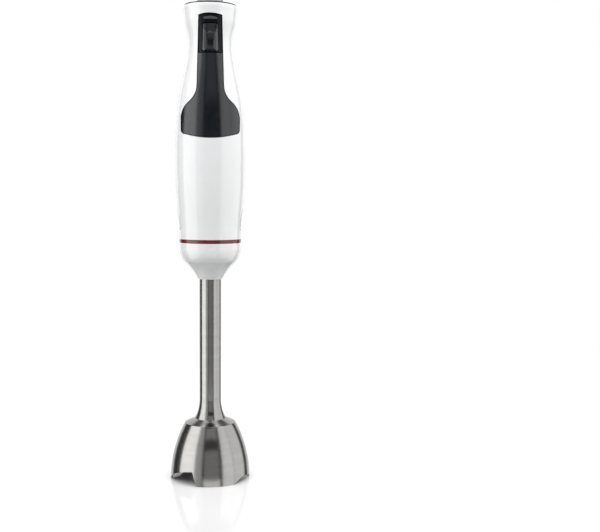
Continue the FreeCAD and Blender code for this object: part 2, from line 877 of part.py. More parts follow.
def make_housing(outer, inner):
    """White front and rear shells with seats for the motor, the socket ring and the guide."""
    bands = (
        ("socket", "socket_ring_radius", "socket_ring_height", "socket_ring_length"),
        ("guide", "guide_radius", "guide_height", "guide_length"),
        ("lower_seat", "lower_seat_radius", "lower_plate_height", "plate_length"),
        ("upper_seat", "upper_seat_radius", "upper_plate_height", "plate_length"),
    )
    solid_bands = []
    for name, radius, height, length in bands:
        solid_bands.append(ring(name + "_rib", radius, "barrel_radius + 2", height,
                                height + " + " + length, PARTING))
    height = PARTING + " + housing_screw_height"
    forward = Vector(0, 1, 0)
    for side, sign in (("left", "-"), ("right", "")):
        solid_bands.append(rod("boss_" + side, "boss_radius", "barrel_radius * 3",
                               sign + "housing_screw_offset", "-" + BEYOND, height, forward))
    cavity = cut("cavity", inner, fuse("kept_bands", solid_bands))
    hollow = cut("hollow_shell", outer, cavity)

    depth = "(slide_outer_radius + pad_travel)"
    openings = [panel_outline("panel_opening", "0")]
    for name, sign in (("right", ""), ("left", "-")):
        opening = pad_outline("pad_opening_" + name, "0", "barrel_radius + 4 - " + depth)
        openings.append(place(opening, x="%s(%s + barrel_radius + 4) / 2" % (sign, depth), z=PARTING))
    for number in range(int(value("vent_count"))):
        low = PARTING + " + vent_height + vent_pitch * %d" % number
        openings.append(block("vent_%d" % number, ("-vent_width / 2", "vent_width / 2"),
                              ("parting_radius * 0.7", "barrel_radius + 4"), (low, low + " + vent_slot")))
    pierced = cut("pierced_shell", hollow, fuse("openings", openings))

    across = ("-" + BEYOND, BEYOND)
    upward = (PARTING + " - 5", PARTING + " + handle_length + 5")
    halves = (
        ("housing_front", ("-" + BEYOND, "-seam_gap / 2")),
        ("housing_rear", ("seam_gap / 2", BEYOND)),
    )
    for label, depth_span in halves:
        half = common(label + "_half", [pierced, block(label + "_space", across, depth_span, upward)])
        holes = []
        for side, sign in (("left", "-"), ("right", "")):
            x = sign + "housing_screw_offset"
            name = "%s_%s" % (label, side)
            holes.append(rod(name + "_shank", "screw_radius", "screw_length", x,
                             "screw_seat - screw_length", height, forward))
            holes.append(rod(name + "_head", "screw_head_radius + 0.2", "barrel_radius", x,
                             "screw_seat", height, forward))
        cut(label, half, fuse(label + "_holes", holes))


def make_housing_screws():
    height = PARTING + " + housing_screw_height"
    forward = Vector(0, 1, 0)
    screws = []
    for side, sign in (("left", "-"), ("right", "")):
        x = sign + "housing_screw_offset"
        shank = rod("screw_shank_" + side, "screw_radius", "screw_length", x,
                    "screw_seat - screw_length", height, forward)
        head = rod("screw_head_" + side, "screw_head_radius", "screw_head_length", x,
                   "screw_seat", height, forward)
        screws.append(fuse("screw_" + side, [shank, head]))
    group("housing_screws", screws)


def make_grip_panel(outer, inner):
    """Soft anthracite panel that fills the bottle-shaped opening below the trigger."""
    outline = panel_outline("grip_outline", "panel_gap")
    below = block("grip_space", ("-panel_half_width", "panel_half_width"), ("-" + BEYOND, "0"),
                  (PARTING, PARTING + " + bezel_bottom - panel_gap / 2"))
    solid = common("grip_solid", [outer, outline, below])
    cut("grip_panel", solid, inner)


def trigger_outline(label, half_width, low, high):
    """The rounded outline of the trigger, padded forward from the axis."""
    corner = "trigger_corner"
    points = [
        ("-(%s) + %s" % (half_width, corner), low),
        ("%s - %s" % (half_width, corner), low),
        (half_width, "%s + %s" % (low, corner)),
        ("%s - 0.5" % half_width, "%s - %s" % (high, corner)),
        ("%s - 0.5 - %s" % (half_width, corner), high),
        ("-(%s - 0.5 - %s)" % (half_width, corner), high),
        ("-(%s - 0.5)" % half_width, "%s - %s" % (high, corner)),
        ("-(%s)" % half_width, "%s + %s" % (low, corner)),
    ]
    arcs = {start: (corner + " * 1.02", 1) for start in (1, 3, 5, 7)}
    return place(prism(label, "XZ_Plane", points, BEYOND, arcs), z=PARTING)


def lock_outline(label, inset):
    """The lens-shaped outline of the safety lock, padded forward from the axis."""
    half = "(lock_half_width - %s)" % inset
    low = "(lock_bottom + %s)" % inset
    shoulder = "(lock_bottom + 1.2)"
    rise = "(lock_top - %s - %s)" % (inset, shoulder)
    curve = "((%s ^ 2 + %s ^ 2) / (2 * %s))" % (half, rise, rise)
    points = [("-" + half, low), (half, low), (half, shoulder), ("-" + half, shoulder)]
    return place(prism(label, "XZ_Plane", points, BEYOND, {2: (curve, 1)}), z=PARTING)


def make_button_bezel(bezel_form):
    """Gloss black surround of the trigger and the safety lock, with ears for the hinge pin."""
    outline = panel_outline("bezel_outline", "panel_gap")
    front = "-" + FRONT_AT_WAIST
    space = block("bezel_space", ("-panel_half_width", "panel_half_width"),
                  ("-" + BEYOND, front + " + bezel_depth"),
                  (PARTING + " + bezel_bottom + panel_gap / 2", PARTING + " + handle_length"))
    solid = common("bezel_solid", [bezel_form, outline, space])
    trigger_hole = trigger_outline("trigger_hole", "(trigger_half_width + trigger_gap)",
                                   "(trigger_bottom - trigger_gap)", "(trigger_top + trigger_lift)")
    lock_hole = lock_outline("lock_hole", "-trigger_gap")
    pin_hole = rod("pin_hole", "pin_radius", "trigger_half_width * 4", "-trigger_half_width * 2",
                   front + " + pivot_depth", PARTING + " + pivot_height", Vector(1, 0, 0))
    cut("button_bezel", solid, fuse("bezel_holes", [trigger_hole, lock_hole, pin_hole]))


def make_trigger(trigger_form):
    """Variable speed trigger: hinged low in the pocket, scooped, with an arm to the switch."""
    front = "-" + FRONT_AT_WAIST
    outline = trigger_outline("trigger_shape", "trigger_half_width", "trigger_bottom", "trigger_top")
    space = block("trigger_space", ("-trigger_half_width", "trigger_half_width"),
                  ("-" + BEYOND, front + " + trigger_thickness"), HANDLE_SPAN)
    face = common("trigger_face", [trigger_form, outline, space])
    depth = front + " + pivot_depth"
    height = PARTING + " + pivot_height"
    inside = front + " + trigger_thickness - 1"
    barrel = rod("trigger_barrel", "pin_radius + 1.2", "trigger_half_width * 2 - 0.6",
                 "-trigger_half_width + 0.3", depth, height, Vector(1, 0, 0))
    web = block("trigger_web", ("-trigger_half_width + 0.3", "trigger_half_width - 0.3"), (inside, depth),
                (height + " - pin_radius - 1.2", height + " + pin_radius + 1.2"))
    arm = block("trigger_arm", ("-1.5", "1.5"), (inside, "-switch_depth - 3.4"),
                (PARTING + " + switch_bottom + 3", PARTING + " + switch_bottom + 6"))
    scoop = doc.addObject("Part::Ellipsoid", "trigger_scoop")
    bind(scoop, "Radius1", "scoop_top - trigger_bottom - 1")
    bind(scoop, "Radius2", "scoop_radius")
    bind(scoop, "Radius3", "scoop_depth * 2")
    place(scoop, y=front, z=PARTING + " + trigger_bottom + 1")
    solid = fuse("trigger_solid", [face, barrel, web, arm])
    bore = rod("trigger_bore", "pin_radius + running_clearance", "trigger_half_width * 4",
               "-trigger_half_width * 2", depth, height, Vector(1, 0, 0))
    cut("speed_trigger", solid, fuse("trigger_cuts", [scoop, bore]))


def make_trigger_pin():
    front = "-" + FRONT_AT_WAIST
    rod("trigger_pin", "pin_radius", "trigger_half_width * 2 + 3", "-trigger_half_width - 1.5",
        front + " + pivot_depth", PARTING + " + pivot_height", Vector(1, 0, 0))


def make_safety_lock(trigger_form):
    front = "-" + FRONT_AT_WAIST
    outline = lock_outline("lock_shape", "0")
    space = block("lock_space", ("-lock_half_width", "lock_half_width"),
                  ("-" + BEYOND, front + " + lock_length"), HANDLE_SPAN)
    common("safety_lock", [trigger_form, outline, space])


def on_side(sign, near, far):
    """A span from near to far of the axis, to its right, or mirrored to its left by "-"."""
    return ("-(%s)" % far, "-(%s)" % near) if sign else (near, far)


def make_release(side, sign, outer, level):
    """Release button and the latch slide that it pushes. The slide rings the cup, and its
    tongue lies on the far side, so that pushing the button draws the tongue out."""
    outline = pad_outline("pad_shape_" + side, "pad_gap", "barrel_radius * 4")
    skin = common("pad_skin_" + side, [outer, outline])
    deep = "(parting_radius - pad_thickness)"
    space = block("pad_space_" + side, on_side(sign, deep, BEYOND), ("-pad_half_width", "pad_half_width"),
                  (PARTING, PARTING + " + barrel_height"))
    common("release_button_" + side, [skin, space])

    bottom = "slide_height + slide_pitch * %d" % level
    hole = "(cup_radius + pad_travel + slide_clearance)"
    plate = ring("slide_plate_" + side, hole, "slide_outer_radius", bottom,
                 bottom + " + slide_thickness", PARTING)
    low = PARTING + " + " + bottom
    high = low + " + slide_thickness"
    half = "slide_tongue / 2"
    tip = "(cup_radius + slide_clearance)"
    rim = "slide_outer_radius - 0.5"
    tongue_span = on_side("" if sign else "-", tip, rim)
    stem_span = on_side(sign, rim, deep)
    tongue = block("slide_tongue_" + side, tongue_span, ("-" + half, half), (low, high))
    stem = block("slide_stem_" + side, stem_span, ("-" + half, half), (low, high))
    fuse("latch_slide_" + side, [plate, tongue, stem])


def make_socket_rings():
    ring("socket_ring", "cup_radius + moving_gap", "socket_ring_radius", "socket_ring_height",
         "socket_ring_height + socket_ring_length", PARTING)
    disc = ring("guide_disc", "cup_radius + moving_gap", "guide_radius", "guide_height",
                "guide_height + guide_length", PARTING)
    reach = "(slide_outer_radius + pad_travel - 0.2)"
    span = ("-pad_half_width - 0.5", "pad_half_width + 0.5")
    heights = (PARTING + " + guide_height - 1", PARTING + " + guide_height + guide_length + 1")
    flats = []
    for side, sign in (("right", ""), ("left", "-")):
        flats.append(block("guide_flat_" + side, on_side(sign, reach, "barrel_radius"), span, heights))
    cut("latch_guide", disc, fuse("guide_flats", flats))


# ---------------------------------------------------------------- motor

def posts(label, low, high, z=PARTING):
    """Four pillars around the motor, which space its brackets from the stator."""
    pillars = []
    for number, angle in enumerate((45, 135, 225, 315)):
        pillars.append(rod("%s_%d" % (label, number), "post_radius", "(%s) - (%s)" % (high, low),
                           "post_circle * cos(%d)" % angle, "post_circle * sin(%d)" % angle,
                           "%s + %s" % (z, low)))
    return pillars


def make_motor_brackets():
    lower = [
        ring("lower_plate", "bearing_radius", "lower_plate_radius", "lower_plate_height",
             "lower_plate_height + plate_length", PARTING),
        ring("lower_hub", "bearing_radius", "bearing_radius + 2", "lower_bearing_height",
             "lower_plate_height + plate_length", PARTING),
    ]
    lower += posts("lower_post", "lower_plate_height + 1", "stack_height")
    fuse("motor_lower_bracket", lower)
    upper = [
        ring("upper_plate", "bearing_radius", "upper_plate_radius", "upper_plate_height",
             "upper_plate_height + plate_length", PARTING),
        ring("upper_hub", "bearing_radius", "bearing_radius + 2", "upper_plate_height",
             "upper_plate_height + bearing_length", PARTING),
    ]
    upper += posts("upper_post", "stack_height + stack_length", "upper_plate_height + 1")
    fuse("motor_upper_bracket", upper)
    bore = "rotor_radius + running_clearance"
    ring("lower_bearing", bore, "bearing_radius", "lower_bearing_height",
         "lower_bearing_height + bearing_length", PARTING)
    ring("upper_bearing", bore, "bearing_radius", "upper_plate_height",
         "upper_plate_height + bearing_length", PARTING)
    ring("damper_lower", "lower_plate_radius", "lower_seat_radius", "lower_plate_height",
         "lower_plate_height + plate_length", PARTING)
    ring("damper_upper", "upper_plate_radius", "upper_seat_radius", "upper_plate_height",
         "upper_plate_height + plate_length", PARTING)


def make_stator():
    """Laminated stack with two poles, and a field coil around each pole."""
    top = "stack_height + stack_length"
    disc = ring("stack_disc", "armature_radius + air_gap", "stack_radius", "stack_height", top, PARTING)
    flat = block("stack_flat", ("-stack_radius", "stack_radius"), ("-stack_half_depth", "stack_half_depth"),
                 HANDLE_SPAN)
    slot_ring = ring("slot_ring", "armature_radius + air_gap - 1", "coil_radius + coil_gap",
                     "stack_height - 1", top + " + 1", PARTING)
    pole = block("pole_space", ("-pole_half_width", "pole_half_width"), ("-stack_radius", "stack_radius"),
                 HANDLE_SPAN)
    slots = cut("stator_slots", slot_ring, pole)
    cut("stator_core", common("stack_body", [disc, flat]), slots)

    low = "(stack_height - coil_overhang)"
    high = "(%s + coil_overhang)" % top
    inner = "armature_radius + air_gap + 1"
    window = block("coil_window", ("-pole_half_width - coil_gap", "pole_half_width + coil_gap"),
                   ("-stack_radius", "stack_radius"),
                   (PARTING + " + stack_height - coil_gap", "%s + %s + coil_gap" % (PARTING, top)))
    coils = []
    for side, span in (("front", ("-stack_radius", "-0.6")), ("rear", ("0.6", "stack_radius"))):
        loop = ring("coil_ring_" + side, inner, "coil_radius", low, high, PARTING)
        half = block("coil_space_" + side, ("-stack_radius", "stack_radius"), span,
                     HANDLE_SPAN)
        coils.append(cut("coil_" + side, common("coil_half_" + side, [loop, half]), window))
    group("field_coils", coils)


def make_rotor():
    shaft_low = SQUARE_TOP + " + 0.6 - " + PARTING
    shaft_high = "upper_plate_height + bearing_length + 2"
    points = [("0", shaft_low), ("rotor_radius", shaft_low), ("rotor_radius", shaft_high), ("0", shaft_high)]
    revolved("rotor_shaft", points, z=PARTING)
    top = "stack_height + stack_length"

    core = new_body("armature_core")
    outline = sketch_in(core, "XY_Plane", "core_outline", lift="stack_height")
    draw_circle(outline, "armature_radius")
    pad(core, outline, "stack_length")
    bore = sketch_in(core, "XY_Plane", "core_bore", lift="stack_height - 1")
    draw_circle(bore, "rotor_radius")
    pocket(core, bore, "stack_length + 2", along_normal=True)
    slot = sketch_in(core, "XY_Plane", "core_slot", lift="stack_height - 1")
    draw(slot, [("armature_radius - 5", "-0.9"), ("armature_radius + 1", "-0.9"),
                ("armature_radius + 1", "0.9"), ("armature_radius - 5", "0.9")])
    slots = pocket(core, slot, "stack_length + 2", along_normal=True)
    polar(core, [slots], "armature_slots")
    place(core, z=PARTING)

    ends = []
    for name, low, high in (("low", "stack_height - winding_length", "stack_height"),
                            ("high", top, top + " + winding_length")):
        middle = "(%s + %s) / 2" % (low, high)
        profile = [
            ("rotor_radius", low), ("winding_radius - 2.5", low), ("winding_radius", middle),
            ("winding_radius - 1", high), ("rotor_radius", high),
        ] if name == "low" else [
            ("rotor_radius", low), ("winding_radius - 1", low), ("winding_radius", middle),
            ("winding_radius - 2.5", high), ("rotor_radius", high),
        ]
        ends.append(revolved("winding_" + name, profile, z=PARTING))
    group("armature_winding", ends)

    ring("commutator", "rotor_radius", "commutator_radius", "commutator_height",
         "commutator_height + commutator_length", PARTING)

    fan = new_body("cooling_fan")
    hub = sketch_in(fan, "XY_Plane", "fan_hub")
    draw_circle(hub, "rotor_radius + 3")
    pad(fan, hub, "fan_length")
    plate = sketch_in(fan, "XY_Plane", "fan_plate", lift="fan_length - 1.2")
    draw_circle(plate, "fan_radius")
    pad(fan, plate, "1.2")
    vane = sketch_in(fan, "XY_Plane", "fan_vane")
    draw(vane, [("rotor_radius + 2", "-0.5"), ("fan_radius - 0.3", "-2.1"),
                ("fan_radius - 0.3", "-0.9"), ("rotor_radius + 2", "0.5")])
    vane_pad = pad(fan, vane, "fan_length - 0.6")
    polar(fan, [vane_pad], "fan_blades")
    fan_bore = sketch_in(fan, "XY_Plane", "fan_bore", lift="-1")
    draw_circle(fan_bore, "rotor_radius")
    pocket(fan, fan_bore, "fan_length + 2", along_normal=True)
    place(fan, z=PARTING + " + fan_height")

    coupler = new_body("drive_coupler")
    key = sketch_in(coupler, "XY_Plane", "coupler_square", lift="foot_top + 1.6")
    draw(key, square("square_side"))
    pad(coupler, key, "square_length + 1.6")
    cap = sketch_in(coupler, "XY_Plane", "coupler_cap", lift=SQUARE_TOP + " + 0.6")
    draw_circle(cap, "driven_radius - 0.8")
    pad(coupler, cap, "lower_bearing_height + %s - 1.2 - (%s)" % (PARTING, SQUARE_TOP))
    hole = sketch_in(coupler, "XY_Plane", "coupler_bore", lift=SQUARE_TOP + " + 0.6")
    draw_circle(hole, "rotor_radius")
    pocket(coupler, hole, "lower_bearing_height", along_normal=True)


def make_brush_gear():
    """Two holders on the upper bracket, each with a carbon brush and its spring."""
    middle = "(commutator_height + commutator_length / 2)"
    half = "brush_width / 2"
    wall = "(brush_width / 2 + holder_wall)"
    low = "%s + %s - %s" % (PARTING, middle, wall)
    holders = []
    brushes = []
    springs = []
    centre = "%s + %s" % (PARTING, middle)
    inset = "(%s - 0.1)" % half
    brush_end = "commutator_radius + brush_length"
    for side, sign in (("right", ""), ("left", "-")):
        body = block("holder_body_" + side, on_side(sign, "commutator_radius + 1", "holder_reach - 1"),
                     ("-" + wall, wall), (low, PARTING + " + upper_plate_height"))
        channel = block("holder_channel_" + side, on_side(sign, "commutator_radius", "holder_reach - 2"),
                        ("-" + half, half), ("%s - %s" % (centre, half), "%s + %s" % (centre, half)))
        holders.append(cut("holder_" + side, body, channel))
        brushes.append(block("brush_" + side, on_side(sign, "commutator_radius + 0.05", brush_end),
                             ("-" + inset, inset),
                             ("%s - %s" % (centre, inset), "%s + %s" % (centre, inset))))
        start = on_side(sign, brush_end, "holder_reach - 2")[0]
        springs.append(coil_spring("brush_coil_" + side, "1.5", "0.25", "1.0",
                                   "holder_reach - 2 - commutator_radius - brush_length",
                                   Vector(1, 0, 0), start, "0", centre))
    group("brush_holders", holders)
    group("carbon_brushes", brushes)
    group("brush_springs", springs)


def coil_spring(label, radius, wire, pitch, length, axis, x, y, z):
    """A round-wire compression spring between two flats that lie along the axis."""
    helix = doc.addObject("Part::Helix", label + "_helix")
    bind(helix, "Pitch", pitch)
    bind(helix, "Height", "(%s) - 2 * (%s)" % (length, wire))
    bind(helix, "Radius", radius)
    wire_section = doc.addObject("Part::Circle", label + "_wire")
    bind(wire_section, "Radius", wire)
    wire_section.Placement = Placement(Vector(), Rotation(Vector(1, 0, 0), 90))
    place(wire_section, x=radius)
    sweep = doc.addObject("Part::Sweep", label)
    sweep.Sections = [wire_section]
    sweep.Spine = (helix, ["Edge1"])
    sweep.Solid = True
    sweep.Frenet = True
    sweep.Placement = Placement(Vector(), Rotation(Vector(0, 0, 1), axis))
    shift = {"x": x, "y": y, "z": z}
    for name, part in (("x", axis.x), ("y", axis.y), ("z", axis.z)):
        if abs(part) > 0.5:
            shift[name] = "(%s) + (%s)" % (shift[name], wire)
    return place(sweep, **shift)


# ---------------------------------------------------------------- electronics and top

def make_electronics():
    """Control board in the neck, with the speed switch, a capacitor and a finned heat sink."""
    bottom = PARTING + " + board_bottom"
    behind = "board_depth + board_thickness"
    block("control_board", ("-board_half_width", "board_half_width"), ("board_depth", behind),
          (bottom, PARTING + " + board_top"))
    low = PARTING + " + switch_bottom"
    switch = block("switch_case", ("-switch_half_width", "switch_half_width"),
                   ("-switch_depth", "board_depth"), (low, low + " + switch_length"))
    plunger = block("switch_plunger", ("-1", "1"), ("-switch_depth - 0.8", "-switch_depth + 1"),
                    (low + " + 3.5", low + " + 5.5"))
    fuse("speed_switch", [switch, plunger])
    can_low = bottom + " + capacitor_height"
    can = rod("capacitor_can", "capacitor_radius", "capacitor_length", "0", behind + " + capacitor_radius",
              can_low)
    lead = block("capacitor_leads", ("-2", "2"), (behind, behind + " + 2"),
                 (can_low + " + 4", can_low + " + 12"))
    fuse("suppression_capacitor", [can, lead])
    sink_heights = (bottom + " + sink_height", bottom + " + sink_height + sink_length")
    sink = [block("sink_base", ("-sink_half_width", "sink_half_width"), (behind, behind + " + sink_base"),
                  sink_heights)]
    fin_count = int(value("fin_count"))
    for number in range(fin_count):
        middle = "fin_pitch * %g" % (number - (fin_count - 1) / 2)
        sink.append(block("sink_fin_%d" % number, (middle + " - fin_width / 2", middle + " + fin_width / 2"),
                          (behind + " + sink_base / 2", behind + " + fin_depth"), sink_heights))
    fuse("heat_sink", sink)


def make_top():
    """Black top plate with a domed face, and the grey cable gland that stands on it."""
    spigot = "(top_radius - shell_wall)"
    points = [
        ("gland_neck_radius", "handle_length - spigot_length"),
        (spigot, "handle_length - spigot_length"),
        (spigot, "handle_length"),
        ("top_radius - 0.3", "handle_length"),
        ("top_radius - 0.3", "handle_length + plate_edge * 0.6"),
        ("top_radius - 0.9", "handle_length + plate_edge"),
        ("gland_radius", GLAND_BASE),
        ("gland_neck_radius", GLAND_BASE),
    ]
    revolved("top_plate", points, {5: ("top_radius * 4", 1)}, PARTING)
    top = GLAND_BASE + " + gland_length"
    gland_points = [
        ("gland_bore", "handle_length - spigot_length - gland_nut_length - 1"),
        ("gland_neck_radius", "handle_length - spigot_length - gland_nut_length - 1"),
        ("gland_neck_radius", GLAND_BASE),
        ("gland_radius", GLAND_BASE),
        ("gland_radius - gland_taper * 0.6", top + " - gland_rounding"),
        ("gland_radius - gland_taper * 0.6 - gland_rounding", top),
        ("gland_bore + 0.8", top),
        ("gland_bore", top + " - 0.8"),
    ]
    revolved("cable_gland", gland_points, {4: ("gland_rounding * 1.02", 1)}, PARTING)
    nut = new_body("gland_nut")
    outline = sketch_in(nut, "XY_Plane", "gland_nut_outline")
    draw(outline, hexagon("gland_nut_flats"))
    pad(nut, outline, "gland_nut_length")
    hole = sketch_in(nut, "XY_Plane", "gland_nut_hole")
    draw_circle(hole, "gland_neck_radius")
    pocket(nut, hole, "gland_nut_length * 3", symmetric=True)
    place(nut, z=PARTING + " + handle_length - spigot_length - gland_nut_length")


def make_moving_springs():
    """Return springs of the trigger and the safety lock."""
    front = "-" + FRONT_AT_WAIST
    coil_spring("trigger_spring", "2.2", "0.3", "1.3",
                "%s - trigger_thickness + board_depth - 0.1" % FRONT_AT_WAIST,
                Vector(0, 1, 0), "0", front + " + trigger_thickness + 0.05",
                PARTING + " + pivot_height + 5.1")
    coil_spring("lock_spring", "0.9", "0.2", "0.9", "%s - lock_length + board_depth - 0.1" % FRONT_AT_WAIST,
                Vector(0, 1, 0), "0", front + " + lock_length + 0.05", PARTING + " + lock_bottom + 1.3")
    seat = "slide_outer_radius * 0.868"
    for side, direction, level, y in (("left", 1, 0, "slide_outer_radius * 0.57"),
                                      ("right", -1, 1, "-slide_outer_radius * 0.57")):
        height = PARTING + " + slide_height + slide_pitch * %d + slide_thickness / 2" % level
        start = seat if direction > 0 else "-%s - 2.75" % seat
        coil_spring("release_spring_" + side, "0.8", "0.18", "0.8", "2.75", Vector(1, 0, 0), start, y, height)


# ---------------------------------------------------------------- build and write

NODES = [
    "housing_front", "housing_rear", "grip_panel", "button_bezel", "top_plate", "cable_gland", "gland_nut",
    "housing_screws", "socket_ring", "latch_guide", "motor_lower_bracket", "motor_upper_bracket",
    "stator_core", "field_coils", "lower_bearing", "upper_bearing", "damper_lower", "damper_upper",
    "brush_holders", "carbon_brushes", "brush_springs", "control_board", "speed_switch",
    "suppression_capacitor", "heat_sink", "trigger_pin",
    "rotor_shaft", "armature_core", "armature_winding", "commutator", "cooling_fan", "drive_coupler",
    "speed_trigger", "trigger_spring", "safety_lock", "lock_spring",
    "release_button_left", "latch_slide_left", "release_spring_left",
    "release_button_right", "latch_slide_right", "release_spring_right",
    "accent_ring", "foot_collar", "coupling_cup", "shaft_tube", "bell", "upper_bush", "lower_bush",
    "hub_carrier", "lip_seal",
    "drive_shaft", "driven_coupling", "blade", "blade_nut", "blade_spacer",
]


def build():
    make_bell()
    make_shaft_tube()
    make_foot_collar()
    make_accent_ring()
    make_coupling_cup()
    make_bushes()
    make_hub_carrier()
    make_lip_seal()
    make_drive_shaft()
    make_blade()
    make_blade_nut()
    make_blade_spacer()
    make_driven_coupling()
    outer = make_form("outer_form", "0")
    inner = make_form("inner_form", "shell_wall", "1")
    bezel_form = make_form("bezel_form", "bezel_recess")
    trigger_form = make_form("trigger_form", "trigger_skin")
    make_housing(outer, inner)
    make_housing_screws()
    make_grip_panel(outer, inner)
    make_button_bezel(bezel_form)
    make_trigger(trigger_form)
    make_trigger_pin()
    make_safety_lock(trigger_form)
    make_release("left", "-", outer, 0)
    make_release("right", "", outer, 1)
    make_socket_rings()
    make_motor_brackets()
    make_stator()
    make_rotor()
    make_brush_gear()
    make_electronics()
    make_top()
    make_moving_springs()


def write():
    doc.recompute()
    for item in doc.Objects:
        if "Invalid" in item.State or "Error" in item.State:
            raise RuntimeError("%s failed: %s" % (item.Label, item.State))
    labels = {item.Label: item for item in doc.Objects}
    os.makedirs("parts", exist_ok=True)
    for node in NODES:
        shape = labels[node].Shape
        if shape.isNull() or not shape.isValid() or not shape.Solids:
            raise RuntimeError(node + " is not a valid solid")
        shape.exportStep("parts/%s.step" % node)
        box = shape.BoundBox
        print("%-24s %d solids %10.1f mm3  z %.1f to %.1f" % (node, len(shape.Solids), shape.Volume,
                                                            box.ZMin, box.ZMax))


build()
write()
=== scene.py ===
import json
import math

import bpy
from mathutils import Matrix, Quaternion, Vector
from mathutils.bvhtree import BVHTree


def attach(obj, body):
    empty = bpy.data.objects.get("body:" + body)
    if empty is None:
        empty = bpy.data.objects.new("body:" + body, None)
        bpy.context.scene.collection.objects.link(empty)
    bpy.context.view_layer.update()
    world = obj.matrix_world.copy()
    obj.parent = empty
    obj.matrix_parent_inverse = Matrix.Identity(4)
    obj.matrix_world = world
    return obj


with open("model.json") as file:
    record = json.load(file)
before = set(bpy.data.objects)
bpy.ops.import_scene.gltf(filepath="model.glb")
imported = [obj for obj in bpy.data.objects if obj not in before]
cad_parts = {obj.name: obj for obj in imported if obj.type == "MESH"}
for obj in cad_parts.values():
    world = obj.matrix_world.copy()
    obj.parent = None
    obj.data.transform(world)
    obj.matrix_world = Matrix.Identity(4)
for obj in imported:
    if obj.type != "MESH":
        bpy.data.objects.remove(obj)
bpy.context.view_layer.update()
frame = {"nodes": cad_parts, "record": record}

NODES = frame["nodes"]
RECORD = frame["record"]


# A wave texture of scale 1 has this many bands over its unit length.
BANDS_PER_SCALE = 0.314


# ------------------------------------------------------------------ node helpers

class Nodes:
    """A material's node tree, with short calls for the nodes that the finishes share."""

    def __init__(self, name):
        self.material = bpy.data.materials.new(name)
        self.material.use_nodes = True
        self.tree = self.material.node_tree
        self.tree.nodes.clear()
        self.output = self.add("ShaderNodeOutputMaterial")
        self.shader = self.add("ShaderNodeBsdfPrincipled")
        self.link(self.shader.outputs[0], self.output.inputs["Surface"])
        self.place = self.add("ShaderNodeTexCoord").outputs["Object"]

    def add(self, kind, **values):
        node = self.tree.nodes.new(kind)
        for key, given in values.items():
            setattr(node, key, given)
        return node

    def link(self, source, target):
        self.tree.links.new(source, target)

    def fixed(self, **values):
        """Set the shader's own sockets."""
        for key, given in values.items():
            self.shader.inputs[key.replace("_", " ")].default_value = given

    def stretched(self, scale):
        """The object's coordinates, scaled along each axis."""
        mapping = self.add("ShaderNodeMapping")
        mapping.inputs["Scale"].default_value = scale
        self.link(self.place, mapping.inputs["Vector"])
        return mapping.outputs[0]

    def noise(self, scale, detail=3.0, roughness=0.5, vector=None):
        node = self.add("ShaderNodeTexNoise")
        node.inputs["Scale"].default_value = scale
        node.inputs["Detail"].default_value = detail
        node.inputs["Roughness"].default_value = roughness
        self.link(vector or self.place, node.inputs["Vector"])
        return node.outputs["Fac"]

    def ranged(self, source, low, high, start=0.3, end=0.7):
        node = self.add("ShaderNodeMapRange")
        node.inputs["From Min"].default_value = start
        node.inputs["From Max"].default_value = end
        node.inputs["To Min"].default_value = low
        node.inputs["To Max"].default_value = high
        self.link(source, node.inputs["Value"])
        return node.outputs["Result"]

    def blend(self, factor, first, second):
        node = self.add("ShaderNodeMix", data_type="RGBA")
        colours = [s for s in node.inputs if s.type == "RGBA"]
        colours[0].default_value = (*first, 1)
        colours[1].default_value = (*second, 1)
        self.link(factor, node.inputs["Factor"])
        return next(s for s in node.outputs if s.type == "RGBA")

    def painted_crevice_shade(self, colour, reach, shadow):
        """The colour with painted shade: by ambient occlusion it falls to the shadow's share of it where a
        gap is narrower than the reach.
        """
        node = self.add("ShaderNodeAmbientOcclusion", samples=8)
        node.inputs["Distance"].default_value = reach
        share = self.ranged(node.outputs["AO"], shadow, 1.0, 0.22, 0.62)
        product = self.add("ShaderNodeMix", data_type="RGBA", blend_type="MULTIPLY")
        product.inputs["Factor"].default_value = 1.0
        first, second = [socket for socket in product.inputs if socket.type == "RGBA"]
        self.link(colour, first)
        self.link(share, second)
        return next(socket for socket in product.outputs if socket.type == "RGBA")

    def bump(self, height, distance):
        node = self.add("ShaderNodeBump")
        node.inputs["Distance"].default_value = distance
        self.link(height, node.inputs["Height"])
        self.link(node.outputs[0], self.shader.inputs["Normal"])

    def to(self, source, socket):
        self.link(source, self.shader.inputs[socket])


def shade(colour, factor):
    return tuple(min(1.0, c * factor) for c in colour)


def moulded(name, colour, rough, spread=0.05, tone=0.04, grain=900.0, relief=2e-6, gap_shade=None, **fixed):
    """Moulded plastic: a fine grain, with gloss and tone that drift a little over the part.
    The gap argument, if given, holds the reach and the shadow of a painted shade: the colour goes dark in
    each narrow gap, by ambient occlusion."""
    m = Nodes(name)
    m.fixed(**fixed)
    drift = m.noise(38.0, 4.0)
    tint = m.blend(m.ranged(drift, 0.0, 1.0), shade(colour, 1 - tone), shade(colour, 1 + tone))
    # Painted shade: each narrow gap goes dark by ambient occlusion.
    if gap_shade:
        tint = m.painted_crevice_shade(tint, *gap_shade)
    m.to(tint, "Base Color")
    m.to(m.ranged(m.noise(160.0, 5.0), rough - spread, rough + spread), "Roughness")
    m.bump(m.noise(grain, 2.0), relief)
    return m.material


def soft_touch(name, colour, rough):
    """Soft-touch coating: a fine even stipple and a dull gloss."""
    m = Nodes(name)
    m.fixed(Specular_IOR_Level=0.8)
    stipple = m.noise(2600.0, 2.0)
    drift = m.ranged(m.noise(60.0, 4.0), 0.0, 1.0)
    m.to(m.blend(drift, shade(colour, 0.85), shade(colour, 1.2)), "Base Color")
    m.to(m.ranged(m.noise(210.0, 4.0), rough - 0.04, rough + 0.05), "Roughness")
    m.bump(stipple, 6e-6)
    return m.material


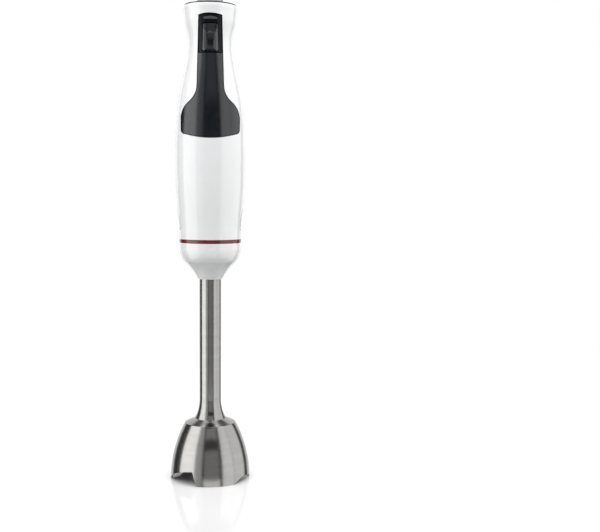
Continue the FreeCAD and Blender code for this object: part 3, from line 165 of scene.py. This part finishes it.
def turned_steel(name, colour, rough, along, anisotropy, relief):
    """Steel finished on a lathe: fine rings about the vertical axis."""
    m = Nodes(name)
    m.fixed(Metallic=1.0, Anisotropic=anisotropy)
    tangent = m.add("ShaderNodeTangent", direction_type="RADIAL", axis="Z")
    m.link(tangent.outputs[0], m.shader.inputs["Tangent"])
    rings = m.noise(1.0, 4.0, 0.65, m.stretched((16.0, 16.0, along)))
    wide = m.noise(1.0, 3.0, 0.5, m.stretched((30.0, 30.0, 260.0)))
    m.to(m.blend(m.ranged(wide, 0.0, 1.0), shade(colour, 0.95), shade(colour, 1.05)), "Base Color")
    m.to(m.ranged(rings, rough - 0.03, rough + 0.04), "Roughness")
    m.bump(rings, relief)
    return m.material


def plain_metal(name, colour, rough, relief=1.5e-6, grain=700.0):
    """Pressed, cast or plated metal with a faint random texture."""
    m = Nodes(name)
    m.fixed(Metallic=1.0)
    drift = m.ranged(m.noise(120.0, 5.0), 0.0, 1.0)
    m.to(m.blend(drift, shade(colour, 0.86), shade(colour, 1.06)), "Base Color")
    m.to(m.ranged(m.noise(grain, 4.0), rough - 0.07, rough + 0.1), "Roughness")
    m.bump(m.noise(grain, 3.0), relief)
    return m.material


def layered(name, colour, rough, pitch):
    """Stacked sheets or wound wire: dark lines across the vertical axis at one pitch."""
    m = Nodes(name)
    m.fixed(Metallic=1.0)
    wave = m.add("ShaderNodeTexWave", wave_type="BANDS", bands_direction="Z")
    wave.inputs["Scale"].default_value = BANDS_PER_SCALE / pitch
    wave.inputs["Distortion"].default_value = 0.6
    wave.inputs["Detail"].default_value = 2.0
    m.link(m.place, wave.inputs["Vector"])
    m.to(m.blend(wave.outputs["Fac"], shade(colour, 0.45), shade(colour, 1.1)), "Base Color")
    m.to(m.ranged(m.noise(500.0, 3.0), rough - 0.06, rough + 0.1), "Roughness")
    m.bump(wave.outputs["Fac"], 6e-5)
    return m.material


def board_finish(name, colour):
    """Circuit board: a woven laminate with paler tracks."""
    m = Nodes(name)
    m.fixed(Roughness=0.35)
    brick = m.add("ShaderNodeTexBrick")
    for socket, given in (("Scale", 420.0), ("Mortar Size", 0.03), ("Bias", -0.2)):
        brick.inputs[socket].default_value = given
    brick.inputs["Color1"].default_value = (*colour, 1)
    brick.inputs["Color2"].default_value = (*shade(colour, 1.35), 1)
    brick.inputs["Mortar"].default_value = (*shade(colour, 0.7), 1)
    m.link(m.place, brick.inputs["Vector"])
    m.to(brick.outputs["Color"], "Base Color")
    m.bump(brick.outputs["Fac"], 8e-6)
    return m.material


FINISHES = {
    # The white shell carries painted shade in each narrow gap: its seams and the gap round the panel go dark
    # by ambient occlusion.
    "white_shell": moulded("white_shell", (0.84, 0.845, 0.85), 0.17, 0.03, 0.012, 1100.0, 1.2e-6,
                           gap_shade=(0.0018, 0.02), Coat_Weight=0.6, Coat_Roughness=0.08),
    "soft_panel": soft_touch("soft_panel", (0.0008, 0.003, 0.006), 0.22),
    "black_gloss": moulded("black_gloss", (0.004, 0.006, 0.008), 0.13, 0.03, 0.15, 1400.0, 1.0e-6,
                           Coat_Weight=0.3, Coat_Roughness=0.06),
    "black_plastic": moulded("black_plastic", (0.022, 0.023, 0.025), 0.42, 0.06, 0.12, 1800.0, 8e-6),
    "grey_plastic": moulded("grey_plastic", (0.36, 0.375, 0.375), 0.38, 0.05, 0.05, 1500.0, 5e-6),
    "inner_plastic": moulded("inner_plastic", (0.55, 0.55, 0.53), 0.45, 0.06, 0.05, 1300.0, 6e-6),
    "red_ring": moulded("red_ring", (0.17, 0.004, 0.012), 0.2, 0.03, 0.06, 1200.0, 1.5e-6,
                        Coat_Weight=0.4, Coat_Roughness=0.08),
    "steel": turned_steel("steel", (0.37, 0.366, 0.356), 0.17, 9000.0, 0.5, 3e-7),
    "bright_steel": plain_metal("bright_steel", (0.66, 0.66, 0.65), 0.17, 8e-7),
    "zinc_steel": plain_metal("zinc_steel", (0.60, 0.60, 0.58), 0.33),
    "lamination": layered("lamination", (0.30, 0.29, 0.285), 0.42, 5e-4),
    "copper": layered("copper", (0.66, 0.29, 0.13), 0.32, 4.5e-4),
    "bronze": plain_metal("bronze", (0.48, 0.31, 0.15), 0.36, 3e-6, 1100.0),
    "lock_grey": moulded("lock_grey", (0.075, 0.068, 0.072), 0.4, 0.05, 0.05, 1500.0, 4e-6),
    "bezel_black": moulded("bezel_black", (0.0025, 0.0045, 0.006), 0.3, 0.04, 0.1, 1500.0, 1.5e-6,
                           Specular_IOR_Level=0.2),
    "trigger_black": moulded("trigger_black", (0.002, 0.005, 0.008), 0.16, 0.03, 0.1, 1500.0, 1.0e-6,
                             Specular_IOR_Level=0.9, Coat_Weight=0.3, Coat_Roughness=0.08),
    "rubber": moulded("rubber", (0.016, 0.016, 0.017), 0.62, 0.06, 0.2, 1500.0, 1.2e-5),
    "carbon": moulded("carbon", (0.030, 0.030, 0.031), 0.5, 0.08, 0.25, 2400.0, 1.2e-5),
    "board_green": board_finish("board_green", (0.020, 0.16, 0.065)),
    "film_blue": moulded("film_blue", (0.72, 0.52, 0.10), 0.28, 0.04, 0.06),
    "aluminium": plain_metal("aluminium", (0.68, 0.68, 0.69), 0.3, 2e-6, 900.0),
}

OWN_FINISHES = {"safety_lock": "lock_grey", "button_bezel": "bezel_black", "speed_trigger": "trigger_black"}

for row in RECORD["subparts"]:
    finish = FINISHES[OWN_FINISHES.get(row["node"], row["material_slot"])]
    for slot in NODES[row["node"]].material_slots:
        slot.material = finish


# ------------------------------------------------------------------ trigger face

# The trigger's cover in mm: half width, height, rim left free round it, fillet of its corners.
COVER_HALF = 6.3
COVER_TALL = 21.4
COVER_RIM = 0.25
COVER_CORNER = 1.6
COVER_RISE = 0.22
# Ridges along both sides: height, and how far in from the side they start.
RIDGE_RISE = 0.75
RIDGE_INSET = 2.0
# Finger dip: height of its middle, half height, what is left beside it, and its depth.
DIP_MIDDLE = 6.0
DIP_HALF_TALL = 5.0
DIP_MARGIN = 3.1
DIP_CORNER = 1.6
DIP_DEPTH = 0.8
# Fan of rays above the dip: centre, bearings in degrees, and height.
FAN_MIDDLE = 13.0
FAN_BEARINGS = (-60, -30, 0, 30, 60)
FAN_RISE = 0.22


def surface_of(node):
    """A function that gives the depth of a node's front face at a place seen from the front."""
    points = [node.matrix_world @ vertex.co for vertex in node.data.vertices]
    tree = BVHTree.FromPolygons(points, [tuple(face.vertices) for face in node.data.polygons])

    def depth(x, z):
        hit = tree.ray_cast(Vector((x, -1.0, z)), Vector((0, 1, 0)))
        return hit[0].y if hit[0] else None

    return depth


def smooth_step(low, high, value):
    share = min(1.0, max(0.0, (value - low) / (high - low)))
    return share * share * (3 - 2 * share)


def rounded_distance(x, z, half_width, half_height, corner):
    """Distance outside a rounded rectangle about the origin; negative inside it."""
    across = abs(x) - half_width + corner
    along = abs(z) - half_height + corner
    outside = math.hypot(max(across, 0.0), max(along, 0.0))
    return outside + min(max(across, along), 0.0) - corner


def trigger_relief(x, up):
    """Height of the trigger's cover, in mm, at x from its middle and up from its foot."""
    half_tall = COVER_TALL / 2
    edge = -rounded_distance(x, up - half_tall, COVER_HALF - COVER_RIM, half_tall - COVER_RIM, COVER_CORNER)
    relief = COVER_RISE * smooth_step(0.0, 0.5, edge)

    flank = abs(x) - (COVER_HALF - RIDGE_INSET)
    ridge = RIDGE_RISE * smooth_step(-0.9, -0.1, flank) * (1 - smooth_step(0.35, 1.15, flank))
    relief += ridge * smooth_step(0.4, 2.4, up) * (1 - smooth_step(COVER_TALL - 8.0, COVER_TALL - 3.5, up))

    dip = rounded_distance(x, up - DIP_MIDDLE, COVER_HALF - DIP_MARGIN, DIP_HALF_TALL, DIP_CORNER)
    relief += -DIP_DEPTH * (1 - smooth_step(-0.7, 0.1, dip))

    rays = 0.0
    reach = math.hypot(x, up - FAN_MIDDLE)
    bearing = math.degrees(math.atan2(x, up - FAN_MIDDLE))
    length = smooth_step(1.3, 1.6, reach) * (1 - smooth_step(2.7, 3.0, reach))
    for ray in FAN_BEARINGS:
        aside = abs(math.radians(bearing - ray)) * reach
        rays = max(rays, (1 - smooth_step(0.18, 0.36, aside)) * length)
    return relief + FAN_RISE * rays


def make_trigger_cover():
    """Moulded face of the trigger: two side ridges, a finger dip and a fan of short rays."""
    depth = surface_of(NODES["speed_trigger"])
    foot = 0.3487
    half_width = COVER_HALF / 1000
    tall = COVER_TALL / 1000
    spacing = 0.00018
    # The cover's section is an arc through the trigger's face near its sides, so that it
    # bridges the scoop in the face.
    side = 0.0056
    section = 0.0175
    sunk = 0.00004
    columns = int(2 * half_width / spacing)
    rows = int(tall / spacing)
    numbers = {}
    points = []
    for row in range(rows + 1):
        for column in range(columns + 1):
            x = -half_width + column * 2 * half_width / columns
            z = foot + row * tall / rows
            flank = depth(side, z)
            if flank is None or depth(x, z) is None:
                continue
            y = flank + math.sqrt(section ** 2 - side ** 2) - math.sqrt(section ** 2 - x ** 2)
            numbers[row, column] = len(points)
            points.append((x, y - trigger_relief(x * 1000, (z - foot) * 1000) / 1000 + sunk, z))
    faces = []
    for row in range(rows):
        for column in range(columns):
            corners = [(row, column), (row, column + 1), (row + 1, column + 1), (row + 1, column)]
            if all(corner in numbers for corner in corners):
                faces.append([numbers[corner] for corner in corners])
    mesh = bpy.data.meshes.new("trigger_cover")
    mesh.from_pydata(points, [], faces)
    mesh.shade_smooth()
    mesh.materials.append(FINISHES["trigger_black"])
    cover = bpy.data.objects.new("trigger_cover", mesh)
    bpy.context.scene.collection.objects.link(cover)
    thick = cover.modifiers.new("thickness", "SOLIDIFY")
    thick.thickness = 0.0003
    thick.offset = -1
    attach(cover, "speed_trigger")


make_trigger_cover()


# ------------------------------------------------------------------ stage, light, camera

def make_floor():
    """A pale floor that fades into the white surround, with a painted shadow close under the object where
    ambient occlusion dims its glow.
    Its glow is for the camera alone, and glossy surfaces show the lights in its place."""
    radius = 2.4
    shadow_reach = 0.09
    glow = 0.46
    mesh = bpy.data.meshes.new("floor")
    mesh.from_pydata([(-radius, -radius, 0), (radius, -radius, 0), (radius, radius, 0), (-radius, radius, 0)],
                     [], [(0, 1, 2, 3)])
    floor = bpy.data.objects.new("floor", mesh)
    bpy.context.scene.collection.objects.link(floor)
    m = Nodes("floor")
    m.fixed(Specular_IOR_Level=0.5, Emission_Color=(1, 1, 1, 1))
    seen = m.add("ShaderNodeLightPath").outputs["Is Camera Ray"]
    # Painted shadow: the glow falls where ambient occlusion finds the object near, a contact shadow under it
    # and dark inside the bell.
    painted_shadow_occlusion = m.add("ShaderNodeAmbientOcclusion", samples=16)
    painted_shadow_occlusion.inputs["Distance"].default_value = shadow_reach
    painted_shadow_share = m.ranged(painted_shadow_occlusion.outputs["AO"], 0.0, 1.0, 0.1, 0.75)
    glow_with_painted_shadow = m.add("ShaderNodeMath", operation="MULTIPLY")
    m.link(m.ranged(seen, 0.0, glow, 0.0, 1.0), glow_with_painted_shadow.inputs[0])
    m.link(painted_shadow_share, glow_with_painted_shadow.inputs[1])
    m.to(glow_with_painted_shadow.outputs[0], "Emission Strength")
    m.to(m.ranged(m.noise(14.0, 3.0), 0.08, 0.11), "Roughness")
    m.to(m.blend(m.ranged(m.noise(9.0, 3.0), 0.0, 1.0), (0.40, 0.40, 0.40), (0.42, 0.42, 0.42)), "Base Color")
    length = m.add("ShaderNodeVectorMath", operation="LENGTH")
    m.link(m.place, length.inputs[0])
    fade = m.ranged(length.outputs["Value"], 0.0, 1.0, 0.35, 0.85)
    clear = m.add("ShaderNodeBsdfTransparent")
    mix = m.add("ShaderNodeMixShader")
    m.link(fade, mix.inputs[0])
    m.link(m.shader.outputs[0], mix.inputs[1])
    m.link(clear.outputs[0], mix.inputs[2])
    m.link(mix.outputs[0], m.output.inputs["Surface"])
    mesh.materials.append(m.material)
    floor.visible_glossy = False


def make_world(seen, felt):
    """A surround of one strength to the camera and of another as light."""
    world = bpy.data.worlds.new("surround")
    bpy.context.scene.world = world
    world.use_nodes = True
    tree = world.node_tree
    tree.nodes.clear()
    output = tree.nodes.new("ShaderNodeOutputWorld")
    paths = tree.nodes.new("ShaderNodeLightPath")
    mix = tree.nodes.new("ShaderNodeMixShader")
    for index, strength in ((1, felt), (2, seen)):
        background = tree.nodes.new("ShaderNodeBackground")
        background.inputs["Color"].default_value = (1, 1, 1, 1)
        background.inputs["Strength"].default_value = strength
        tree.links.new(background.outputs[0], mix.inputs[index])
    tree.links.new(paths.outputs["Is Camera Ray"], mix.inputs[0])
    tree.links.new(mix.outputs[0], output.inputs["Surface"])


def softbox(name, azimuth, distance, height, width, tall, radiance, aim=None, mirrored=True):
    """A rectangular light about the object. Azimuth 0 is the camera's side, 90 the right. It
    stands upright unless it has an aim, and glossy surfaces show it unless told otherwise."""
    light = bpy.data.lights.new(name, "AREA")
    light.shape = "RECTANGLE"
    light.size = width
    light.size_y = tall
    light.energy = radiance * math.pi * width * tall
    thing = bpy.data.objects.new(name, light)
    bpy.context.scene.collection.objects.link(thing)
    turn = math.radians(azimuth)
    thing.location = (distance * math.sin(turn), -distance * math.cos(turn), height)
    thing.rotation_mode = "QUATERNION"
    target = Vector(aim) if aim else Vector((0, 0, height))
    thing.rotation_quaternion = (target - thing.location).to_track_quat("-Z", "Y")
    thing.visible_camera = False
    thing.visible_glossy = mirrored


def make_camera():
    data = bpy.data.cameras.new("camera")
    data.lens = 60.0
    data.sensor_width = 36.0
    data.clip_start = 0.01
    data.clip_end = 50.0
    camera = bpy.data.objects.new("camera", data)
    bpy.context.scene.collection.objects.link(camera)
    camera.location = (0.0, -0.825, 0.2388)
    camera.rotation_mode = "QUATERNION"
    camera.rotation_quaternion = (Quaternion((0, 0, 1), math.radians(-5.14))
                                  @ Quaternion((1, 0, 0), math.radians(90 - 4.32))
                                  @ Quaternion((0, 0, 1), math.radians(0.387)))
    bpy.context.scene.camera = camera


make_floor()
make_world(1.0, 0.06)

# Each light's name, azimuth, distance, height, width, height across and radiance. The upright
# ones are what the steel shows as bands; the high ones light the white shell.
softbox("left_box", -73, 1.0, 0.25, 0.95, 1.9, 1.95)
softbox("left_fade", -36, 1.0, 0.25, 0.40, 1.9, 0.55)
softbox("right_box", 54, 1.0, 0.25, 0.66, 1.9, 1.25)
softbox("right_card", 96, 1.1, 0.25, 0.90, 1.9, 1.15)
softbox("back_card", 180, 2.2, 0.40, 4.0, 3.2, 0.9)
softbox("front_rim", 4, 1.0, -0.50, 0.9, 0.66, 1.15)
softbox("front_low", 4, 1.0, 0.10, 0.8, 0.58, 0.27)
softbox("front_mid", 4, 1.0, 0.94, 0.8, 0.6, 0.33)
softbox("front_high", 0, 0.85, 1.55, 1.6, 0.8, 1.5, (0, 0, 0.25), mirrored=False)
softbox("left_high", -65, 0.85, 1.25, 1.0, 1.0, 1.7, (0, 0, 0.25), mirrored=False)
softbox("right_high", 62, 0.85, 1.25, 1.0, 1.0, 2.6, (0, 0, 0.25), mirrored=False)
softbox("top_box", 180, 0.30, 1.4, 1.6, 1.0, 1.7, (0, 0, 0.2))
make_camera()
bpy.context.scene.view_settings.view_transform = "Standard"
